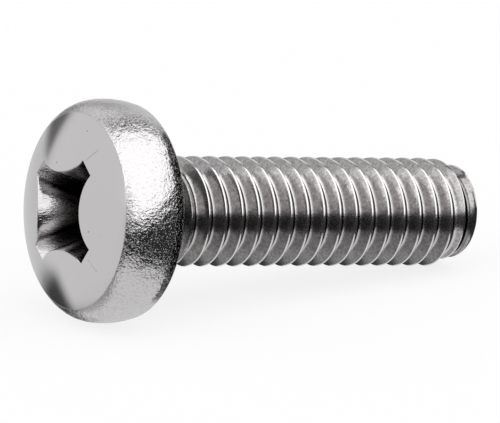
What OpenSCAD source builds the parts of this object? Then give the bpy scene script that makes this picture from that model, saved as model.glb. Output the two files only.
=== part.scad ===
// Pan head machine screw with a cross recess, threaded up to the head, lying on its side.
// The screw is worked out upright, with its bearing face at z = 0, its head above and its shank below.
// It is then laid on the rim of its head and the last crest of its thread.

/* [Head] */
// Largest diameter of the head
head_d = 7.98; // [7.6:0.02:8.8]
// Height of the head above its bearing face
head_h = 3.1; // [2.8:0.05:3.6]
// Radius of the domed top
dome_r = 8; // [6.8:0.1:11]
// Diameter of the edge where the domed top meets the rounded side
dome_edge_d = 7; // [6.7:0.02:7.1]
// Height above the bearing face at which the head is widest
widest_h = 1.1; // [0.8:0.05:1.3]
// Radius of the bulging side, from the widest place down
side_r = 3; // [2.4:0.1:4]
// Radius of the shoulder between the edge of the domed top and the bulging side
shoulder_r = 1.1; // [0.9:0.05:1.5]
// Radius of the rounded rim of the bearing face
rim_r = 0.3; // [0.1:0.05:0.4]

/* [Cross recess] */
// Distance across two opposite wings, level with the top of the dome
recess_span = 4.7; // [3.8:0.05:5]
// Width of a wing at the top
wing_w = 0.76; // [0.6:0.02:0.9]
// Depth of the wings below the top of the dome
wing_depth = 2.1; // [1.4:0.05:2.3]
// Slope of a wing's outer end from the axis
wing_end_slope = 26.5; // [20:0.5:30]
// Slope of a wing's flanks from the axis
wing_flank_slope = 2.5; // [0:0.5:6]
// Length of a wing's straight flank at the top, before the rounded land
wing_flank_len = 0.1; // [0.08:0.01:0.2]
// Angle swept by the rounded land between neighbouring wings
land_sweep = 72; // [64:1:84]
// Slope of the land's middle from the axis
land_slope = 20.5; // [17:0.5:22]
// Slope of the pointed bottom from the face of the screw
bottom_slope = 28; // [15:1:32]
// Turn of the recess about the axis, from the screw's upper side
recess_turn = 55; // [0:1:89]

/* [Shank] */
// Length of the shank from the bearing face to the end
shank_len = 14; // [10:0.5:20]
// Diameter of the plain neck under the head
neck_d = 3.5; // [3.3:0.05:3.6]
// Length of the plain neck, fillet included
neck_len = 0.7; // [0.5:0.05:1.4]
// Radius of the fillet between the bearing face and the neck
fillet_r = 0.3; // [0.25:0.05:0.4]

/* [Thread] */
// Diameter over the crests
thread_d = 3.96; // [3.84:0.01:4]
// Distance between neighbouring crests
pitch = 0.7; // [0.5:0.05:0.8]
// Angle between the two flanks of a crest
flank_angle = 60; // [55:1:65]
// Length of the run-out, from the neck to the first crest of full height
runout_len = 0.9; // [0.5:0.1:1.4]
// Distance from the bearing face to the crest line on the screw's upper side
crest_start = 0.67; // [0:0.01:0.7]
// Diameter of the flat end
tip_d = 3.3; // [3.15:0.05:3.6]
// Slope of the end's chamfer from the axis
tip_slope = 45; // [30:1:55]

/* [Hidden] */
$fn = 64;

// Depth of the thread as a share of the pitch, and the width of its crest, of a metric thread
thread_depth = 0.6134 * pitch;
crest_w = pitch / 8;
// Facets in one turn of the thread, points in one pitch of its profile, and facets in the round of a land
turn_steps = 36;
profile_steps = 4;
land_steps = 10;
// How far the straight steps of a rounded stretch may lie inside its true arc
arc_tolerance = 0.002;
// How far a cutting shape passes the surface that it cuts, and how deep a joined shape starts
overrun = 0.3;

head_r = head_d / 2;
dome_edge_r = dome_edge_d / 2;
neck_r = neck_d / 2;
thread_r = thread_d / 2;
tip_r = tip_d / 2;
root_r = thread_r - thread_depth;
flank_run = thread_depth * tan(flank_angle / 2);
root_w = pitch - crest_w - 2 * flank_run;
// The thread fades into a core that starts inside the neck, and the neck's end tapers to a smaller one
fade_r = root_r - 0.1;
taper_r = fade_r - 0.1;
taper_end = neck_len + neck_r - taper_r;

// Height of the dome's edge above the bearing face
dome_centre_h = head_h - dome_r;
dome_edge_h = dome_centre_h + sqrt(pow(dome_r, 2) - pow(dome_edge_r, 2));
dome_edge_angle = acos(dome_edge_r / dome_r);

// The shoulder's arc starts at the dome's edge and touches the side's arc from inside
side_centre_r = head_r - side_r;
edge_run = dome_edge_r - side_centre_r;
edge_rise = dome_edge_h - widest_h;
edge_reach = norm([edge_run, edge_rise]);
centres_gap = side_r - shoulder_r;
shoulder_fan = acos((pow(centres_gap, 2) + pow(edge_reach, 2) - pow(shoulder_r, 2)) / (2 * centres_gap * edge_reach));
side_angle = atan2(edge_rise, edge_run) - shoulder_fan;
shoulder_centre = [side_centre_r + centres_gap * cos(side_angle), widest_h + centres_gap * sin(side_angle)];
shoulder_angle = atan2(dome_edge_h - shoulder_centre[1], dome_edge_r - shoulder_centre[0]);

// The rim's arc touches the bearing face and the side's arc
rim_centre_r = side_centre_r + sqrt(pow(side_r - rim_r, 2) - pow(widest_h - rim_r, 2));
rim_angle = -asin((widest_h - rim_r) / (side_r - rim_r));

// How far the straight flank of a wing grows along each side of the land per depth, so that the land keeps its slope
land_slim = tan(land_sweep / 4);
near_loss = (tan(wing_end_slope) - tan(wing_flank_slope)) / sqrt(2);
far_loss = (tan(wing_end_slope) + tan(wing_flank_slope)) / sqrt(2);
flank_growth = (tan(land_slope) - far_loss + near_loss * land_slim) / (1 - land_slim);

// Where the chamfer of the end meets the crests
tip_chamfer_len = (thread_r - tip_r) / tan(tip_slope);
last_crest = shank_len - tip_chamfer_len;

// The screw rests on a line from the last crest to the bulging side of its head
rest_run = widest_h + last_crest;
rest_rise = side_centre_r - thread_r;
rest_tilt = atan2(rest_rise, rest_run) + asin(side_r / norm([rest_run, rest_rise]));
rest_height = thread_r * cos(rest_tilt) + last_crest * sin(rest_tilt);
head_reach = dome_r + dome_centre_h * cos(rest_tilt);
tip_reach = shank_len * cos(rest_tilt) + tip_r * sin(rest_tilt);

// Points of an arc, first and last included
function arc(centre, radius, from, to) =
    let (step = 2 * acos(1 - arc_tolerance / radius), steps = ceil(abs(to - from) / step))
    [for (i = [0 : steps])
        let (angle = from + (to - from) * i / steps)
        centre + radius * [cos(angle), sin(angle)]];

// The same points without the first, where an arc goes on from the one before it
function next_arc(centre, radius, from, to) =
    let (points = arc(centre, radius, from, to))
    [for (i = [1 : len(points) - 1]) points[i]];

// Half outline of the blank: domed top, shoulder, side, rounded rim, bearing face, fillet, neck and taper
function blank_outline() = concat(
    arc([0, dome_centre_h], dome_r, 90, dome_edge_angle),
    next_arc(shoulder_centre, shoulder_r, shoulder_angle, side_angle),
    next_arc([side_centre_r, widest_h], side_r, side_angle, rim_angle),
    next_arc([rim_centre_r, rim_r], rim_r, rim_angle, -90),
    arc([neck_r + fillet_r, -fillet_r], fillet_r, 90, 180),
    [[neck_r, -neck_len], [taper_r, -taper_end], [0, -taper_end]]
);

// Share of the thread's full height at a distance below the bearing face
function thread_share(depth) =
    depth > shank_len + overrun ? 0 : min(1, max(0, (depth - neck_len) / runout_len));

// Distance below the crest's middle, and radius, of the corners of the thread's profile in one pitch
thread_profile = [
    [-crest_w / 2, thread_r],
    [crest_w / 2, thread_r],
    [crest_w / 2 + flank_run, root_r],
    [crest_w / 2 + flank_run + root_w, root_r]
];

// The core starts inside the neck and ends past the tip, flat at both ends
core_start = neck_len / 2;
core_end = shank_len + pitch + overrun;
turns = ceil((core_end - core_start) / pitch) + 3;
column = turns * profile_steps;

// One point of the threaded rod: step i of a turn, corner m of the profiles counted down the shank
function rod_point(i, m) =
    let (
        corner = thread_profile[m % profile_steps],
        turn = floor(m / profile_steps) - 1 - i / turn_steps,
        depth = crest_start + turn * pitch + corner[0],
        radius = fade_r + (corner[1] - fade_r) * thread_share(depth),
        angle = 360 * i / turn_steps
    )
    [radius * cos(angle), radius * sin(angle), -min(core_end, max(core_start, depth))];

// Number of that point, where the last step of a turn joins the first step of the next
function rod_index(i, m) = i < turn_steps ? i * column + m : m - profile_steps;

// Threaded rod, longer than the shank at its end
module threaded_rod() {
    points = [for (i = [0 : turn_steps - 1], m = [0 : column - 1]) rod_point(i, m)];
    walls = [
        for (i = [0 : turn_steps - 1], m = [(i == turn_steps - 1 ? profile_steps : 0) : column - 2])
            let (a = rod_index(i, m), b = rod_index(i + 1, m), c = rod_index(i + 1, m + 1), d = rod_index(i, m + 1))
            each [[a, b, d], [b, c, d]]
    ];
    start_cap = [for (i = [turn_steps - 1 : -1 : 0]) rod_index(i, 0)];
    end_cap = [for (i = [0 : turn_steps - 1]) rod_index(i, column - 1)];
    polyhedron(points, concat(walls, [start_cap, end_cap]));
}

// Space inside the chamfered end
module tip_envelope() {
    outer_r = thread_r + overrun;
    rotate_extrude() polygon([
        [0, 0],
        [outer_r, 0],
        [outer_r, -shank_len + (outer_r - tip_r) / tan(tip_slope)],
        [tip_r, -shank_len],
        [0, -shank_len]
    ]);
}

module blank() {
    rotate_extrude() polygon(blank_outline());
}

// Outline of the recess in a level cut, at a depth below the top of the dome. Each of the four lands runs from the
// corner of one wing along its flank, round the nose and along the next wing's flank. Wing ends join the lands.
function recess_ring(depth) =
    let (
        reach = recess_span / 2 - depth * tan(wing_end_slope),
        half_w = wing_w / 2 - depth * tan(wing_flank_slope),
        near = (reach - half_w) / sqrt(2),
        far = (reach + half_w) / sqrt(2),
        flank_drop = wing_flank_len / sqrt(2) + depth * flank_growth,
        nose_r = (near - flank_drop) / sin(land_sweep / 2),
        nose_centre = far - flank_drop + nose_r * cos(land_sweep / 2)
    )
    [for (turn = [0 : 90 : 270], i = [-1 : land_steps + 1])
        let (
            corner = i < 0 ? 1 : i > land_steps ? -1 : 0,
            angle = land_sweep * (1 / 2 - i / land_steps),
            x = corner == 0 ? nose_r * sin(angle) : corner * near,
            y = corner == 0 ? nose_centre - nose_r * cos(angle) : far
        )
        [cos(turn) * x - sin(turn) * y, sin(turn) * x + cos(turn) * y, head_h - depth]];

// Cross recess: four wings that narrow downwards, and a pointed bottom
module cross_recess() {
    mouth = recess_ring(-overrun);
    foot = recess_ring(wing_depth);
    n = len(mouth);
    point_h = head_h - wing_depth - norm([foot[0][0], foot[0][1]]) * tan(bottom_slope);
    walls = [for (i = [0 : n - 1]) each [[i, (i + 1) % n, n + i], [(i + 1) % n, n + (i + 1) % n, n + i]]];
    bottom = [for (i = [0 : n - 1]) [n + i, n + (i + 1) % n, 2 * n]];
    polyhedron(concat(mouth, foot, [[0, 0, point_h]]), concat([[for (i = [n - 1 : -1 : 0]) i]], walls, bottom));
}

module upright_screw() {
    difference() {
        union() {
            blank();
            intersection() {
                threaded_rod();
                tip_envelope();
            }
        }
        rotate([0, 0, recess_turn - 45]) cross_recess();
    }
}

module screw() {
    color("silver")
        translate([(head_reach - tip_reach) / 2, 0, rest_height])
        rotate([0, rest_tilt - 90, 0])
        upright_screw();
}

screw();
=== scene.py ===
"""Looks of the machine screw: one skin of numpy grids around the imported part, in a plain soft studio."""
import math

import bpy
import numpy as np
from mathutils import Matrix, Vector


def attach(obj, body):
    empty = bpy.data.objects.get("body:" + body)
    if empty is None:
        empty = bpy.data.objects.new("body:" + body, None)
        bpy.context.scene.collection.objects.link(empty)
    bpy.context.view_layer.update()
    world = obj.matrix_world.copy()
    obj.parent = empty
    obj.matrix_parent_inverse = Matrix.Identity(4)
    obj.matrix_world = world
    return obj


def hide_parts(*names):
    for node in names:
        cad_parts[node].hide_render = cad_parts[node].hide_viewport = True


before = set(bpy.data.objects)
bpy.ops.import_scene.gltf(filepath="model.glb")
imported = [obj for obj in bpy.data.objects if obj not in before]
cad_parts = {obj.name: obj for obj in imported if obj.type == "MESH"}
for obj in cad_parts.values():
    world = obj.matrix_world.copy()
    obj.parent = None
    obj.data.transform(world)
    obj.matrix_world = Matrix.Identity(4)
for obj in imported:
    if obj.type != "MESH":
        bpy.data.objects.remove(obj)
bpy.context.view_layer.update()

MM = 0.001

# Sizes of the part's source, in millimetres and degrees
HEAD_R = 3.99
HEAD_H = 3.1
DOME_R = 8.0
DOME_EDGE_R = 3.5
WIDEST_H = 1.1
SIDE_R = 3.0
SHOULDER_R = 1.1
RIM_R = 0.3
RECESS_SPAN = 4.7
WING_W = 0.76
WING_DEPTH = 2.1
WING_END_SLOPE = 26.5
WING_FLANK_SLOPE = 2.5
WING_FLANK_LEN = 0.1
LAND_SWEEP = 72.0
LAND_SLOPE = 20.5
BOTTOM_SLOPE = 28.0
RECESS_TURN = 55.0
SHANK_LEN = 14.0
NECK_R = 1.75
NECK_LEN = 0.7
FILLET_R = 0.3
THREAD_R = 1.98
PITCH = 0.7
FLANK_ANGLE = 60.0
RUNOUT_LEN = 0.9
CREST_START = 0.67
TIP_R = 1.65
TIP_SLOPE = 45.0
ROOT_R = THREAD_R - 0.6134 * PITCH
FADE_R = ROOT_R - 0.1

# Rolling leaves a round crest, narrower than the source's and a little nearer the head, and a round root
ROLLED_CREST_W = 0.06
ROLLED_START = CREST_START - 0.08
CREST_ROUND = 0.02
ROOT_ROUND = 0.04

# The blank was chamfered before its thread was rolled, so the crest falls over the last turn, and a plain
# bevelled band ends the shank
LAST_TURN_R = 1.73
LAST_TURN_LEN = 0.95
LAST_TURN_FALL = 0.45
LAST_CREST_NUMBER = 19
END_BAND_R = 1.67
END_BEVEL_LEN = 0.12
END_BEVEL_SLOPE = 28.0

# The last groove, between that crest and the band. It starts nearly closed and opens. At the end of its turn
# it widens to the usual groove, and there a stretch is filled nearly up to the band. Each step has the angle
# round the axis at which it starts and the degrees that it takes.
GROOVE_CLOSED_W = 0.07
GROOVE_OPENING = 0.26
GROOVE_OPENS, GROOVE_OPENS_OVER = 60, 80
GROOVE_WIDENING = 0.3
GROOVE_WIDENS, GROOVE_WIDENS_OVER = 330, 77.5
GROOVE_FILLS, GROOVE_FILLS_OVER = 315, 35
GROOVE_EMPTIES, GROOVE_EMPTIES_OVER = 375, 30
FILL_SINK = 0.01

# Heights and radii that follow from them
DOME_CENTRE_H = HEAD_H - DOME_R
DOME_EDGE_H = DOME_CENTRE_H + math.sqrt(DOME_R ** 2 - DOME_EDGE_R ** 2)
SIDE_CENTRE_R = HEAD_R - SIDE_R
RIM_CENTRE_R = SIDE_CENTRE_R + math.sqrt((SIDE_R - RIM_R) ** 2 - (WIDEST_H - RIM_R) ** 2)

# Depth of the shallow dents that the forming tool left on the side
SIDE_DENT = 0.006

# Edges that turn by more than this stay sharp
SHARP_ANGLE = 38

# Zones of the skin, which differ in finish
DOME, SIDE, RECESS, SHANK = range(4)
ZONE_NAMES = ("dome", "side", "recess", "shank")


def cosd(angle):
    return np.cos(np.radians(angle))


def sind(angle):
    return np.sin(np.radians(angle))


def tand(angle):
    return np.tan(np.radians(angle))


# Where the screw lies: on the side of its head and on its last crest
LAST_CREST = SHANK_LEN - (THREAD_R - TIP_R) / tand(TIP_SLOPE)
REST_RUN = WIDEST_H + LAST_CREST
REST_RISE = SIDE_CENTRE_R - THREAD_R
REST_TILT = math.atan2(REST_RISE, REST_RUN) + math.asin(SIDE_R / math.hypot(REST_RUN, REST_RISE))
REST_HEIGHT = THREAD_R * math.cos(REST_TILT) + LAST_CREST * math.sin(REST_TILT)
HEAD_REACH = DOME_R + DOME_CENTRE_H * math.cos(REST_TILT)
TIP_REACH = SHANK_LEN * math.cos(REST_TILT) + TIP_R * math.sin(REST_TILT)
REST_SHIFT = (HEAD_REACH - TIP_REACH) / 2

# The skin has as many columns round the axis from one end of the screw to the other
END_COLUMNS = 8
LAND_COLUMNS = 40
QUARTER = END_COLUMNS + LAND_COLUMNS
COLUMNS = 4 * QUARTER
FIRST_ANGLE = RECESS_TURN - 90.0 * END_COLUMNS / QUARTER / 2
ANGLES = FIRST_ANGLE + 360.0 * np.arange(COLUMNS) / COLUMNS


def laid(points):
    """Points of the upright screw in millimetres, tipped and lifted as the part's source does, in metres.

    Height and distance along are the upright x and z turned about the Y axis, plus the lift and the shift.
    """
    x, y, z = points[..., 0], points[..., 1], points[..., 2]
    along = x * math.sin(REST_TILT) - z * math.cos(REST_TILT) + REST_SHIFT
    height = x * math.cos(REST_TILT) + z * math.sin(REST_TILT) + REST_HEIGHT
    return np.stack([along, y, height], -1) * MM


def arc(centre_r, centre_h, radius, start, end, count):
    """Radius and height of count points at equal angles on a circle, both ends included."""
    angle = np.linspace(start, end, count)
    return np.stack([centre_r + radius * cosd(angle), centre_h + radius * sind(angle)], -1)


def rings(outline):
    """An outline carried round the axis: radius times the unit circle at each column's angle."""
    radius, height = outline[:, 0:1], outline[:, 1:2]
    flat = np.ones(COLUMNS)
    return np.stack([radius * cosd(ANGLES), radius * sind(ANGLES), height * flat], -1)


def rounded(before, corner, after, count):
    """Rows on parabolas from before to after that bend round a corner between them, both ends left out."""
    share = np.linspace(0, 1, count + 2)[1:-1, None, None]
    return (1 - share) ** 2 * before + 2 * share * (1 - share) * corner + share ** 2 * after


# Recess

# Each column's place in its quarter: on the straight end of a wing, or on the land that follows it. A land
# has a straight flank, a round nose and a second flank.
FLANK_COLUMNS = 9
NOSE_HALF = LAND_COLUMNS / 2 - FLANK_COLUMNS
ON_END = np.tile(np.arange(QUARTER) < END_COLUMNS, 4)
END_SHARE = np.tile(np.arange(QUARTER) / END_COLUMNS, 4)
FROM_NOSE = np.tile(END_COLUMNS + LAND_COLUMNS / 2 - np.arange(QUARTER), 4)
NOSE_ANGLES = LAND_SWEEP / 2 * np.clip(FROM_NOSE / NOSE_HALF, -1, 1)
FLANK_SHARE = np.sign(FROM_NOSE) * np.clip((np.abs(FROM_NOSE) - NOSE_HALF) / FLANK_COLUMNS, 0, 1)
QUARTER_TURN = RECESS_TURN - 45 + np.repeat(90.0 * np.arange(4), QUARTER)


def recess_outline(depth):
    """Outline of the recess at one depth below the top of the dome per column.

    A wing's end is a straight line between two corners, at its reach and half its width to each side. From
    each corner a flank runs at 45 degrees by its drop, and an arc of the land's sweep joins two flanks. Reach
    and width shrink in proportion to the depth, and the drop grows so that the arc's middle follows the
    land's slope.
    """
    reach = RECESS_SPAN / 2 - depth * tand(WING_END_SLOPE)
    half = WING_W / 2 - depth * tand(WING_FLANK_SLOPE)
    near = (reach - half) / math.sqrt(2)
    far = (reach + half) / math.sqrt(2)
    slim = tand(LAND_SWEEP / 4)
    far_loss = (tand(WING_END_SLOPE) + tand(WING_FLANK_SLOPE)) / math.sqrt(2)
    near_loss = (tand(WING_END_SLOPE) - tand(WING_FLANK_SLOPE)) / math.sqrt(2)
    drop_growth = (tand(LAND_SLOPE) - far_loss + near_loss * slim) / (1 - slim)
    drop = WING_FLANK_LEN / math.sqrt(2) + depth * drop_growth
    nose_r = (near - drop) / sind(LAND_SWEEP / 2)
    land_x = nose_r * sind(NOSE_ANGLES) + drop * FLANK_SHARE
    land_y = far - drop + nose_r * (cosd(LAND_SWEEP / 2) - cosd(NOSE_ANGLES)) + drop * np.abs(FLANK_SHARE)
    x = np.where(ON_END, far + (near - far) * END_SHARE, land_x)
    y = np.where(ON_END, near + (far - near) * END_SHARE, land_y)
    turn = QUARTER_TURN
    return np.stack([cosd(turn) * x - sind(turn) * y, sind(turn) * x + cosd(turn) * y], -1)


def recess_wall(depth):
    """Points of the recess's wall at one depth per column."""
    outline = recess_outline(depth)
    return np.concatenate([outline, (HEAD_H - depth)[:, None]], -1)


def dome_height(x, y):
    """Height of the sphere of the domed top above the point x, y."""
    return DOME_CENTRE_H + np.sqrt(DOME_R ** 2 - x ** 2 - y ** 2)


def mouth_depth():
    """Depth at which each column's wall meets the dome: the dome's depth at the last outline, in steps."""
    depth = np.zeros(COLUMNS)
    for step in range(12):
        outline = recess_outline(depth)
        depth = HEAD_H - dome_height(outline[:, 0], outline[:, 1])
    return depth


def dome_rows(start, end, count):
    """Rows on the dome from one row of points to another: straight in plan, lifted to the sphere."""
    share = np.linspace(0, 1, count)[:, None, None]
    plan = start[None, :, :2] * (1 - share) + end[None, :, :2] * share
    return np.concatenate([plan, dome_height(plan[..., 0], plan[..., 1])[..., None]], -1)


def head_skin():
    """Rows from the recess's point up its walls, over the dome, down the side and inwards to the neck."""
    depth = mouth_depth()
    edge_width = 0.05
    mouth = recess_wall(depth)
    below = recess_wall(depth + edge_width)
    foot = recess_wall(np.full(COLUMNS, WING_DEPTH))
    point = np.array([0, 0, HEAD_H - WING_DEPTH - np.hypot(foot[0, 0], foot[0, 1]) * tand(BOTTOM_SLOPE)])
    bottom = point + (foot - point) * np.linspace(0, 1, 7)[1:-1, None, None]
    share = np.linspace(0, 1, 15)[:, None]
    wall_depth = WING_DEPTH * (1 - share) + (depth + edge_width) * share
    wall = np.stack([recess_wall(row) for row in wall_depth])

    rim_circle = rings(np.array([[DOME_EDGE_R - 0.05, 0.0], [DOME_EDGE_R - 0.015, 0.0]]))
    outward = rim_circle[0, :, :2] - mouth[:, :2]
    outward = outward / np.linalg.norm(outward, axis=1, keepdims=True)
    lip = mouth[:, :2] + outward * edge_width
    beside = mouth[:, :2] + outward * edge_width * 2
    dome = np.concatenate([dome_rows(lip, beside, 2), dome_rows(beside, rim_circle[0], 18)[1:]])
    dome = np.concatenate([dome, dome_rows(rim_circle[0], rim_circle[1], 2)[1:]])
    mouth_edge = rounded(below, mouth, dome[0], 3)

    edge = rings(np.array([[DOME_EDGE_R, DOME_EDGE_H]]))[0]
    side = rings(side_outline())
    around = np.radians(ANGLES)
    dent = 1 - hills(around, side[..., 2], (18, 70), (0.2, 1.6), 24, seed=5)
    inward = side[..., :2] / np.linalg.norm(side[..., :2], axis=-1, keepdims=True)
    fade = np.clip((DOME_EDGE_H - side[..., 2]) / 0.3, 0, 1) * np.clip(side[..., 2] / 0.5, 0, 1)
    side[..., :2] -= inward * (SIDE_DENT * dent * fade)[..., None]
    dome_edge = rounded(dome[-1], edge, side[0], 2)
    blocks = [bottom, wall, mouth_edge, dome, dome_edge, side, rings(under_outline())]
    zones = [RECESS] * (len(bottom) + len(wall) + 2) + [DOME] * (len(dome) + 2)
    zones += [SIDE] * (len(side) + 1) + [SHANK] * len(blocks[-1])
    return point, np.concatenate(blocks), zones


def hills(around, along, turns, waves, count, seed):
    """Sum of sine waves with random phases, mostly between -1 and 1.

    Each wave has a whole number of crests in one turn round the axis, so that its ends meet, and a number of
    them in a millimetre along it.
    """
    chance = np.random.default_rng(seed)
    total = 0.0
    for wave in range(count):
        crests = chance.integers(*turns)
        slope = chance.uniform(*waves) * chance.choice([-1, 1])
        total = total + np.sin(crests * around + 2 * math.pi * (slope * along + chance.random()))
    return total / math.sqrt(2 * count)


def side_outline():
    """Outline from beside the dome's edge down: shoulder arc, side arc and rim arc."""
    edge_run = DOME_EDGE_R - SIDE_CENTRE_R
    edge_rise = DOME_EDGE_H - WIDEST_H
    edge_reach = math.hypot(edge_run, edge_rise)
    gap = SIDE_R - SHOULDER_R
    fan = math.degrees(math.acos((gap ** 2 + edge_reach ** 2 - SHOULDER_R ** 2) / (2 * gap * edge_reach)))
    side_angle = math.degrees(math.atan2(edge_rise, edge_run)) - fan
    centre_r = SIDE_CENTRE_R + gap * cosd(side_angle)
    centre_h = WIDEST_H + gap * sind(side_angle)
    shoulder_angle = math.degrees(math.atan2(DOME_EDGE_H - centre_h, DOME_EDGE_R - centre_r))
    rim_angle = -math.degrees(math.asin((WIDEST_H - RIM_R) / (SIDE_R - RIM_R)))
    return np.concatenate([
        arc(centre_r, centre_h, SHOULDER_R, shoulder_angle - 0.8, shoulder_angle - 2.4, 2),
        arc(centre_r, centre_h, SHOULDER_R, shoulder_angle - 5, side_angle, 11),
        arc(SIDE_CENTRE_R, WIDEST_H, SIDE_R, side_angle, rim_angle, 26)[1:],
        arc(RIM_CENTRE_R, RIM_R, RIM_R, rim_angle, -90, 8)[1:],
    ])


def under_outline():
    """Outline of the bearing face, the fillet and the upper half of the neck."""
    face = np.linspace(RIM_CENTRE_R, NECK_R + FILLET_R, 7)[1:-1]
    return np.concatenate([
        np.stack([face, np.zeros(len(face))], -1),
        arc(NECK_R + FILLET_R, -FILLET_R, FILLET_R, 90, 180, 6),
        np.array([[NECK_R, -NECK_LEN / 2]]),
    ])


# Thread

def step_up(share):
    """A smooth step from 0 to 1 as share goes from 0 to 1."""
    share = np.clip(share, 0, 1)
    return share ** 2 * (3 - 2 * share)


def thread_radius(depth, angle):
    """Radius of the shank at a depth below the bearing face and an angle round the axis, in degrees.

    The distance along the axis from the nearest crest sets a point on the flank's line. Smooth low and high
    limits round it into the crest and the root. The thread fades into the neck at one end. Near the other end
    the crest falls, and past the last groove the band takes its place: the band's radius less the distance to
    it over the flank's slope. The tip's bevel and cone cut both.
    """
    flank_slope = tand(FLANK_ANGLE / 2)
    phase = (depth - ROLLED_START) / PITCH + angle / 360
    across = np.abs(phase - np.round(phase)) * PITCH
    crest_rise = ROLLED_CREST_W / 4 / flank_slope
    top = THREAD_R + math.hypot(crest_rise, CREST_ROUND) - crest_rise
    flank = THREAD_R - (across - ROLLED_CREST_W / 2) / flank_slope
    radius = (flank + top) / 2 - np.sqrt((flank - top) ** 2 / 4 + CREST_ROUND ** 2)
    radius = (radius + ROOT_R) / 2 + np.sqrt((radius - ROOT_R) ** 2 / 4 + ROOT_ROUND ** 2)
    share = np.clip((depth - NECK_LEN) / RUNOUT_LEN, 0, 1)
    radius = FADE_R + (radius - FADE_R) * share
    neck = np.where(depth < NECK_LEN, NECK_R, NECK_R - (depth - NECK_LEN))
    fall = step_up((depth - SHANK_LEN + LAST_TURN_LEN) / LAST_TURN_FALL)
    past_crest = (phase - LAST_CREST_NUMBER) * PITCH
    filled = step_up((angle - GROOVE_FILLS) / GROOVE_FILLS_OVER) * (past_crest > 0)
    filled = filled * (1 - step_up((angle - GROOVE_EMPTIES) / GROOVE_EMPTIES_OVER))
    floor_r = FADE_R + (END_BAND_R - FILL_SINK - FADE_R) * filled
    radius = np.maximum(radius - (THREAD_R - LAST_TURN_R) * fall, floor_r)
    groove_w = GROOVE_CLOSED_W + GROOVE_OPENING * step_up((angle - GROOVE_OPENS) / GROOVE_OPENS_OVER)
    groove_w = groove_w + GROOVE_WIDENING * step_up((angle - GROOVE_WIDENS) / GROOVE_WIDENS_OVER)
    left = SHANK_LEN - depth
    bevel = END_BAND_R - np.maximum(END_BEVEL_LEN - left, 0) * tand(END_BEVEL_SLOPE)
    band = np.minimum(END_BAND_R - np.maximum(groove_w - past_crest, 0) / flank_slope, bevel)
    return np.minimum(np.maximum(radius, np.maximum(neck, band)), bevel + left * tand(TIP_SLOPE))


# Distances of the rows of one pitch from the middle of a crest, as shares of the pitch
CREST_ROWS = np.array([0.0, 0.02, 0.045, 0.075, 0.12, 0.2, 0.3, 0.4, 0.435, 0.47])
PITCH_ROWS = np.concatenate([CREST_ROWS, [0.5], 1 - CREST_ROWS[:0:-1]])


def shank_skin(first):
    """The thread's points and the grid of their numbers, with rows along the helix.

    A row's depth is the start plus the pitch times the row's number less the share of a turn. Rows that would
    pass either end are held there and share one point per column. The last column joins the first column one
    turn on. The points' numbers start at first, with a ring for each end.
    """
    start, end = NECK_LEN / 2, SHANK_LEN
    low = math.floor((start - ROLLED_START) / PITCH + FIRST_ANGLE / 360) - 1
    high = math.ceil((end - ROLLED_START) / PITCH + FIRST_ANGLE / 360) + 2
    steps = len(PITCH_ROWS)
    rows = (np.arange(low, high)[:, None] + PITCH_ROWS).ravel()
    depth = ROLLED_START + PITCH * (rows[:, None] - ANGLES / 360)
    number = np.arange(depth.size).reshape(depth.shape) + first + 2 * COLUMNS
    column = np.arange(COLUMNS)
    number = np.where(depth <= start, first + column, number)
    number = np.where(depth >= end, first + COLUMNS + column, number)
    seam = np.concatenate([np.full(steps, first), number[:-steps, 0]])
    number = np.concatenate([number, seam[:, None]], 1)
    ends = np.stack([np.full(COLUMNS, start), np.full(COLUMNS, end)])
    depth = np.concatenate([ends, depth])
    radius = thread_radius(depth, ANGLES)
    points = np.stack([radius * cosd(ANGLES), radius * sind(ANGLES), -np.clip(depth, start, end)], -1)
    return points, number


def grid_triangles(number):
    """Two triangles for each cell of a grid of point numbers, without those that have shrunk to a line."""
    a, b, c, d = number[:-1, :-1], number[:-1, 1:], number[1:, 1:], number[1:, :-1]
    faces = np.concatenate([np.stack([a, d, b], -1).reshape(-1, 3), np.stack([b, d, c], -1).reshape(-1, 3)])
    whole = (faces[:, 0] != faces[:, 1]) & (faces[:, 1] != faces[:, 2]) & (faces[:, 2] != faces[:, 0])
    return faces[whole]


def closed(number):
    """A grid of point numbers with its first column once more at its end."""
    return np.concatenate([number, number[:, :1]], 1)


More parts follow.
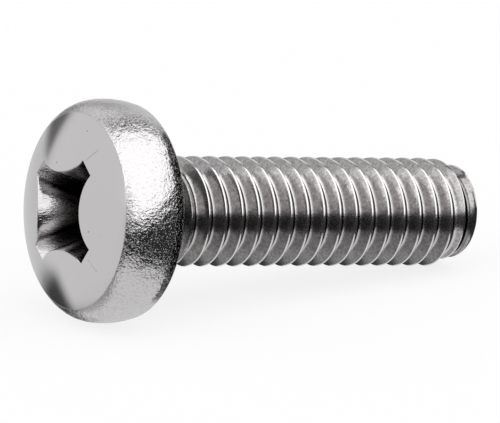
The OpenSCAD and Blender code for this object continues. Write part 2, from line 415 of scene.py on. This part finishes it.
def screw_skin():
    """The whole skin as points in millimetres, triangles and the zone of each point."""
    point, head, row_zones = head_skin()
    head_rows = len(head) - 1
    head_points = head[:-1].reshape(-1, 3)
    first = 1 + len(head_points)
    shank, number = shank_skin(first)
    end_ring = first + COLUMNS + np.arange(COLUMNS)

    head_number = np.arange(head_rows * COLUMNS).reshape(head_rows, COLUMNS) + 1
    head_number = np.concatenate([head_number, (first + np.arange(COLUMNS))[None]])
    tip_first = first + shank.shape[0] * COLUMNS
    ring = shank[1]

    # Rings across the end face, as shares of its radius, and how far each stands out beyond the shank
    tip_share = np.array([0.985, 0.96, 0.9, 0.7, 0.45, 0.2])
    tip_out = np.array([0.012, 0.018, 0.0, -0.03, -0.045, -0.05])
    tip = ring * tip_share[:, None, None]
    tip[..., 2] = -SHANK_LEN - tip_out[:, None]
    tip_number = np.arange(tip.size // 3).reshape(len(tip_share), COLUMNS) + tip_first
    tip_number = np.concatenate([end_ring[None], tip_number])
    pole = tip_first + tip.size // 3
    last = np.array([0, 0, -SHANK_LEN - tip_out[-1]])

    blocks = [point[None], head_points, shank.reshape(-1, 3), tip.reshape(-1, 3), last[None]]
    triangles = [grid_triangles(grid) for grid in (closed(head_number), number, closed(tip_number))]
    first_ring = closed(head_number[:1])[0]
    triangles.append(np.stack([first_ring[1:], np.zeros(COLUMNS, int), first_ring[:-1]], -1))
    last_ring = closed(tip_number[-1:])[0]
    triangles.append(np.stack([last_ring[:-1], np.full(COLUMNS, pole), last_ring[1:]], -1))
    zones = np.full(pole + 1, SHANK)
    zones[0] = RECESS
    zones[1:first] = np.repeat(row_zones[:-1], COLUMNS)
    return np.concatenate(blocks), np.concatenate(triangles), zones


def make_mesh(name, points, triangles, zones):
    """A mesh object of these points and triangles, without the points that no triangle uses."""
    used = np.unique(triangles)
    renumber = np.zeros(len(points), int)
    renumber[used] = np.arange(len(used))
    triangles = renumber[triangles]
    mesh = bpy.data.meshes.new(name)
    mesh.vertices.add(len(used))
    mesh.vertices.foreach_set("co", laid(points[used]).ravel().astype(np.float32))
    mesh.loops.add(triangles.size)
    mesh.loops.foreach_set("vertex_index", triangles.ravel().astype(np.int32))
    mesh.polygons.add(len(triangles))
    mesh.polygons.foreach_set("loop_start", np.arange(0, triangles.size, 3, dtype=np.int32))
    mesh.polygons.foreach_set("loop_total", np.full(len(triangles), 3, np.int32))
    mesh.update(calc_edges=True)
    mesh.validate()
    mesh.shade_smooth()
    mesh.set_sharp_from_angle(angle=math.radians(SHARP_ANGLE))
    for zone, zone_name in enumerate(ZONE_NAMES):
        mask = mesh.attributes.new(zone_name, "FLOAT", "POINT")
        mask.data.foreach_set("value", (zones[used] == zone).astype(np.float32))
    piece = bpy.data.objects.new(name, mesh)
    bpy.context.scene.collection.objects.link(piece)
    return piece


# Shader maths

class Term:
    """A node's output, on which Python's operators add Math nodes."""

    def __init__(self, tree, socket):
        self.tree = tree
        self.socket = socket

    def math(self, operation, *others, clamp=False):
        settings = {"operation": operation, "use_clamp": clamp}
        return node(self.tree, "ShaderNodeMath", settings, dict(enumerate([self, *others])))

    def __add__(self, other):
        return self.math("ADD", other)

    def __sub__(self, other):
        return self.math("SUBTRACT", other)

    def __mul__(self, other):
        return self.math("MULTIPLY", other)

    def __truediv__(self, other):
        return self.math("DIVIDE", other)

    def __rsub__(self, other):
        return node(self.tree, "ShaderNodeMath", {"operation": "SUBTRACT"}, {0: other, 1: self})

    __radd__ = __add__
    __rmul__ = __mul__

    def ramp(self, start, end):
        """0 up to start, 1 from end on, with a smooth step between them; start may lie above end."""
        if start > end:
            return 1 - self.ramp(end, start)
        values = {"Value": self, "From Min": start, "From Max": end}
        return node(self.tree, "ShaderNodeMapRange", {"interpolation_type": "SMOOTHSTEP"}, values)


def split(tree, vector):
    """The three parts of a vector or colour as Terms."""
    parts = node(tree, "ShaderNodeSeparateXYZ", values={0: vector}, output=None)
    return [Term(tree, part) for part in parts.outputs]


def node(tree, kind, settings=None, values=None, output=0):
    """Adds a node with settings and its sockets' values or links. Gives one output as a Term, or the node."""
    made = tree.nodes.new(kind)
    for name, value in (settings or {}).items():
        setattr(made, name, value)
    for name, value in (values or {}).items():
        socket = made.inputs[name]
        if isinstance(value, Term):
            value = value.socket
        if isinstance(value, bpy.types.NodeSocket):
            tree.links.new(value, socket)
        else:
            socket.default_value = value
    return made if output is None else Term(tree, made.outputs[output])


points, triangles, zones = screw_skin()
screw = make_mesh("machine_screw", points, triangles, zones)


# Steel

BRIGHT_STEEL = (0.62, 0.605, 0.61, 1)
WORN_AND_SHADED_STEEL = (0.2, 0.19, 0.185, 1)
DARK_STRIP_AND_SHADE = (0.03, 0.028, 0.027, 1)
BURNISHED_AND_HIGHLIGHT_STEEL = (0.75, 0.74, 0.74, 1)


def make_steel():
    """Bright steel in four finishes: satin dome, dented side, streaked recess, dull rolled shank; with
    painted shade and a painted highlight.

    Coordinates are the upright screw's, in millimetres, and heights of the bump are in millimetres too.
    """
    material = bpy.data.materials.new("steel")
    material.use_nodes = True
    tree = material.node_tree
    shader = tree.nodes["Principled BSDF"]
    upright = math.pi / 2 - REST_TILT
    place = node(tree, "ShaderNodeTexCoord", output="Object")
    origin = -(Matrix.Rotation(upright, 3, "Y") @ Vector((REST_SHIFT, 0, REST_HEIGHT)))
    values = {"Vector": place, "Location": origin, "Rotation": (0, upright, 0), "Scale": (1 / MM,) * 3}
    place = node(tree, "ShaderNodeMapping", {"vector_type": "POINT"}, values)
    x, y, z = split(tree, place)
    dome, side, recess, shank = (
        node(tree, "ShaderNodeAttribute", {"attribute_name": name}, output="Fac") for name in ZONE_NAMES)

    def grain(scale, detail=2.0, stretch=(1, 1, 1)):
        """Noise with scale grains in a millimetre, about 0.5 on average."""
        values = {0: place, 1: stretch}
        vector = node(tree, "ShaderNodeVectorMath", {"operation": "MULTIPLY"}, values)
        return node(tree, "ShaderNodeTexNoise", values={"Vector": vector, "Scale": scale, "Detail": detail})

    def specks(scale, size, share):
        """Small round specks in a share of the cells."""
        cell = node(tree, "ShaderNodeTexVoronoi", values={"Vector": place, "Scale": scale}, output=None)
        distance, colour = Term(tree, cell.outputs["Distance"]), Term(tree, cell.outputs["Color"])
        chosen = split(tree, colour)[0].ramp(1 - share, 1 - share + 0.01)
        return distance.ramp(size, size * 0.6) * chosen

    def scratch(x_from, y_from, x_to, y_to):
        """A fine line on the dome between two points."""
        length = math.hypot(x_to - x_from, y_to - y_from)
        run, rise = (x_to - x_from) / length, (y_to - y_from) / length
        along = x * run + y * rise - (x_from * run + y_from * rise)
        across = (x * rise - y * run - (x_from * rise - y_from * run)).math("ABSOLUTE")
        return across.ramp(0.022, 0.006) * along.ramp(-0.02, 0.02) * along.ramp(length + 0.02, length - 0.1)

    def mixed(share, under, over):
        """A colour that goes from under to over as share goes from 0 to 1."""
        return node(tree, "ShaderNodeMix", {"data_type": "RGBA"}, {0: share, 6: under, 7: over}, output=2)

    mottle = grain(2.2, 3.0)
    fine = grain(24)
    gritty = grain(18, 1.0)
    flecked = grain(11)
    hammered = grain(5)
    streaks = grain(16, 2.0, (1, 1, 0.06))
    steep = grain(9, 0.0).ramp(0.6, 0.72) + grain(14, 0.0).ramp(0.6, 0.72) * 0.6
    pits = specks(3.0, 0.12, 0.12)
    scratched = scratch(2.06, -1.13, 2.56, -1.58) + scratch(-1.35, -1.95, -1.72, -2.38)
    radius = (x * x + y * y).math("SQRT")

    # Upward is 1 along the top of the lying screw and -1 along its underside
    upward = x / radius

    # Parts of the shank: the bright crest; the root, painted black as shade; a painted highlight on the foot
    # of the flank beside it; and painted shade on the neck under the head. The crest's radius is less by the
    # fall on the last turn.
    fall = z.ramp(LAST_TURN_LEN - SHANK_LEN, LAST_TURN_LEN - SHANK_LEN - LAST_TURN_FALL)
    crest = shank * (radius + fall * (THREAD_R - LAST_TURN_R)).ramp(THREAD_R - 0.035, THREAD_R - 0.012)
    root = shank * radius.ramp(ROOT_R + 0.022, ROOT_R + 0.016) * z.ramp(-NECK_LEN - 0.4, -NECK_LEN - 0.8)
    root = root * z.ramp(-SHANK_LEN + 0.06, -SHANK_LEN + 0.09)
    foot = shank * radius.ramp(ROOT_R + 0.02, ROOT_R + 0.03) * radius.ramp(ROOT_R + 0.09, ROOT_R + 0.05)
    neck = shank * z.ramp(-1.4, -1.1) * radius.ramp(2.4, 2.0)

    # Parts of the side: a dark strip with pale flakes near the bearing face, and glints, mostly low down
    ragged = z + gritty * 0.3 + flecked * 0.3
    rim = side * ragged.ramp(0.84, 0.72) * upward.ramp(0.87, 0.8) * upward.ramp(-0.72, -0.6)
    flakes = gritty.ramp(0.53, 0.6)
    glints = gritty.ramp(0.63, 0.68) * (upward.ramp(0.35, 0.05) * 0.7 + 0.3)

    height = dome * (fine * 0.0003 + mottle * 0.0015 - pits * 0.003 - scratched * 0.006)
    dents = (hammered * 0.012 + flecked * 0.016 + steep * 0.003) * (1 - rim * 0.6)
    height = height + side * (dents + glints * 0.007 + flakes * rim * 0.004)
    height = height + recess * (streaks * 0.01 + hammered * 0.004) + shank * (fine * 0.001 + flecked * 0.0015)
    bump = node(tree, "ShaderNodeBump", values={"Height": height, "Distance": MM})

    gloss = 0.1 + dome * (mottle * 0.06) + recess * 0.03 + shank * (flecked * 0.08 + 0.07) - crest * 0.08
    wear_and_shade = dome * (pits * 0.6 + fine * 0.1 - 0.03)
    wear_and_shade = wear_and_shade + side * (steep * 0.1 + flecked * 0.3 - 0.17 + rim * 0.6)
    # In the recess: streaks, and painted shade that deepens with depth
    wear_and_shade = wear_and_shade + recess * (streaks * 0.6 - 0.05 + z.ramp(HEAD_H - 0.55, HEAD_H - 1.5) * 0.8)
    # On the shank: wear, and painted shade on the neck under the head
    wear_and_shade = wear_and_shade + shank * (flecked * 1.1 + hammered * 0.6 - 0.27) + neck * 0.35
    # Near black: painted shade on the roots, on the neck under the head and deep in the recess, and the dark
    # strip with pale flakes near the bearing face
    shade_and_dark_strip = root + rim * (0.95 - flakes * 0.85) + neck * 0.6
    shade_and_dark_strip = shade_and_dark_strip + recess * z.ramp(HEAD_H - 0.5, HEAD_H - 1.15) * 0.75
    base = mixed(wear_and_shade.math("ADD", 0.0, clamp=True), BRIGHT_STEEL, WORN_AND_SHADED_STEEL)
    base = mixed(shade_and_dark_strip, base, DARK_STRIP_AND_SHADE)
    # Brighter steel: burnished on the crests, and a painted highlight on the foot of each flank
    base = mixed(crest + foot * 0.7, base, BURNISHED_AND_HIGHLIGHT_STEEL)
    tree.links.new(base.socket, shader.inputs["Base Color"])
    tree.links.new(gloss.socket, shader.inputs["Roughness"])
    tree.links.new(bump.socket, shader.inputs["Normal"])
    shader.inputs["Metallic"].default_value = 1.0
    return material


screw.data.materials.append(make_steel())
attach(screw, "root")
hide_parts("screw")


# Studio

def plane(name, size, centre, material):
    """A level square plane."""
    half = size / 2
    mesh = bpy.data.meshes.new(name)
    signs = ((-1, -1), (1, -1), (1, 1), (-1, 1))
    corners = [(centre[0] + x * half, centre[1] + y * half, centre[2]) for x, y in signs]
    mesh.from_pydata(corners, [], [(0, 1, 2, 3)])
    piece = bpy.data.objects.new(name, mesh)
    piece.data.materials.append(material)
    bpy.context.scene.collection.objects.link(piece)
    return piece


# Share of white light in what the camera sees of the paper
PAPER_WHITE = 0.82


def make_paper():
    """Pale paper whose own light lifts it to white for the camera, so that it still shows a soft shadow."""
    material = bpy.data.materials.new("paper")
    material.use_nodes = True
    tree = material.node_tree
    tree.nodes.clear()
    paper = node(tree, "ShaderNodeBsdfDiffuse", values={"Color": (0.8, 0.8, 0.8, 1)})
    white = node(tree, "ShaderNodeEmission", values={"Color": (1, 1, 1, 1), "Strength": 1.0})
    seen = node(tree, "ShaderNodeLightPath", output="Is Camera Ray")
    mixed = node(tree, "ShaderNodeMixShader", values={0: seen * PAPER_WHITE, 1: paper, 2: white})
    node(tree, "ShaderNodeOutputMaterial", values={"Surface": mixed}, output=None)
    return material


# What the studio looks like from the screw, as strength by direction. Azimuth 0 is the side of -Y and 90 the
# side of +X, and elevation is above the horizon. A broad round soft box hangs overhead and in front. A white
# card stands on the left, with a bright wall beside it, and a grey wall behind. Dark flags stand low in front
# and on the right and behind, and the pale table below has shaded parts.
SOFT_BOX = 1.65
BOX_AZIMUTH, BOX_ELEVATION, BOX_SPREAD = -8, 71.4, 66.4
LEFT_CARD = 0.86
BACK_WALL = 0.75
RIGHT_WALL = 0.12
BACK_SKY = 0.95
HIGH_FLAG = 0.52
LEFT_WALL = 2.0
LEFT_SHADE = 0.05
LEFT_TABLE = 0.2
BACK_TABLE = 0.36
TABLE = 0.84
TABLE_SHADE = 0.5
BOX_SHADE = 0.09
FRONT_FLAG = 0.035
RIGHT_FLAG = 0.08
BACK_FLAG = 0.16
LOW_FLAG = 0.06


def make_studio():
    """The world: sectors in azimuth and bands in elevation laid over each other, each with soft edges."""
    world = bpy.data.worlds.new("studio")
    bpy.context.scene.world = world
    world.use_nodes = True
    tree = world.node_tree
    tree.nodes.clear()
    direction = node(tree, "ShaderNodeTexCoord", output="Generated")
    x, y, z = split(tree, direction)
    level = (x * x + y * y).math("SQRT")

    def sector(middle, half_width, soft):
        """1 within half_width degrees of azimuth to each side of middle."""
        facing = (x * sind(middle).item() - y * cosd(middle).item()) / level
        return facing.ramp(cosd(half_width + soft).item(), cosd(half_width - soft).item())

    def cap(azimuth, elevation, spread, soft):
        """1 within spread degrees of one direction."""
        side, rise = cosd(elevation).item(), sind(elevation).item()
        facing = x * (sind(azimuth).item() * side) - y * (cosd(azimuth).item() * side) + z * rise
        return facing.ramp(cosd(spread + soft).item(), cosd(spread - soft).item())

    def above(elevation, soft):
        """1 above an elevation in degrees."""
        return z.ramp(sind(elevation - soft).item(), sind(elevation + soft).item())

    def below(elevation, soft):
        """1 below an elevation in degrees."""
        return 1 - above(elevation, soft)

    def cover(under, mask, strength):
        """The light so far, with a strength laid over it where the mask is 1."""
        return under + mask * (strength - under)

    light = cover(LEFT_CARD, sector(150, 48, 5), BACK_WALL)
    light = cover(light, sector(150, 48, 5) * above(36, 12), BACK_SKY)
    light = cover(light, sector(156, 16, 5) * above(14, 4) * below(44, 6), HIGH_FLAG)

    # How far a direction points to the front, on lines that curve as the soft box's back edge does
    before = x * x * 0.33 - x * 0.16 - y
    light = cover(light, before.ramp(-0.43, -0.38) * above(33, 5) * x.ramp(-0.46, -0.36), BOX_SHADE)
    light = cover(light, sector(62, 26, 5) * below(27, 4), RIGHT_FLAG)
    box = cap(BOX_AZIMUTH, BOX_ELEVATION, BOX_SPREAD, 2) * before.ramp(-0.19, -0.16) * x.ramp(-0.82, -0.785)
    light = cover(light, box, SOFT_BOX)
    light = cover(light, sector(-106, 16, 3) * below(35.5, 1.5), LEFT_CARD)
    light = cover(light, sector(-86, 9.5, 4) * above(12, 5) * below(38, 3), LEFT_WALL)
    light = cover(light, sector(93, 24, 3) * below(30, 2), RIGHT_WALL)
    light = cover(light, sector(-82, 11.5, 2) * below(10, 11), LEFT_SHADE)
    light = cover(light, sector(5, 83, 3) * below(3.5, 2), FRONT_FLAG)
    light = cover(light, sector(3, 90, 3) * below(-6, 3), FRONT_FLAG)
    light = cover(light, sector(103, 17, 5) * below(3, 5), RIGHT_FLAG)

    # The table's edge dips towards the left
    light = cover(light, (x.math("MINIMUM", 0.0) * -0.28 - x * 0.04 - z).ramp(0.66, 0.7), TABLE)
    light = cover(light, sector(-122, 28, 4) * below(-34, 3) * above(-62, 6), TABLE_SHADE)
    light = cover(light, sector(-88, 10, 3) * below(-19, 2) * above(-34, 3), LEFT_TABLE)
    light = cover(light, sector(-100, 12, 4) * below(-29, 2) * above(-55, 5), BACK_TABLE)
    light = cover(light, sector(-152, 8, 5) * below(-34, 3) * above(-46, 4), BACK_TABLE)
    light = cover(light, sector(178, 16, 3.5) * above(1, 3) * below(16, 6), BACK_FLAG)
    light = cover(light, sector(-179, 25, 7) * below(-22.5, 3) * above(-43, 3), LOW_FLAG)
    seen = node(tree, "ShaderNodeLightPath", output="Is Camera Ray")
    light = cover(light, seen, 1.0)
    background = node(tree, "ShaderNodeBackground", values={"Color": (1, 1, 1, 1), "Strength": light})
    node(tree, "ShaderNodeOutputWorld", values={"Surface": background}, output=None)


floor = plane("floor", 2.0, (0, 0, 0), make_paper())
floor.visible_glossy = False
make_studio()

# Camera: the photograph's view, a long lens from the left and a little above
CAMERA_AZIMUTH = -32.2575
CAMERA_ELEVATION = 14.3081
CAMERA_DISTANCE = 208.56 * MM
CAMERA_AIM = Vector((-1.2977, -1.4151, 3.5491)) * MM
LENS_PER_WIDTH = 5836 / 500
SENSOR_WIDTH = 36
NEAR_CLIP = 10 * MM

camera_data = bpy.data.cameras.new("camera")
camera_data.sensor_width = SENSOR_WIDTH
camera_data.lens = SENSOR_WIDTH * LENS_PER_WIDTH
camera_data.clip_start = NEAR_CLIP
camera = bpy.data.objects.new("camera", camera_data)
bpy.context.scene.collection.objects.link(camera)
azimuth, elevation = math.radians(CAMERA_AZIMUTH), math.radians(CAMERA_ELEVATION)
level = math.cos(elevation)
back = Vector((math.sin(azimuth) * level, -math.cos(azimuth) * level, math.sin(elevation)))
right = Vector((math.cos(azimuth), math.sin(azimuth), 0))
turn = Matrix((right, back.cross(right), back)).transposed()
camera.matrix_world = Matrix.Translation(CAMERA_AIM + back * CAMERA_DISTANCE) @ turn.to_4x4()
bpy.context.scene.camera = camera

bpy.context.scene.view_settings.view_transform = "Standard"
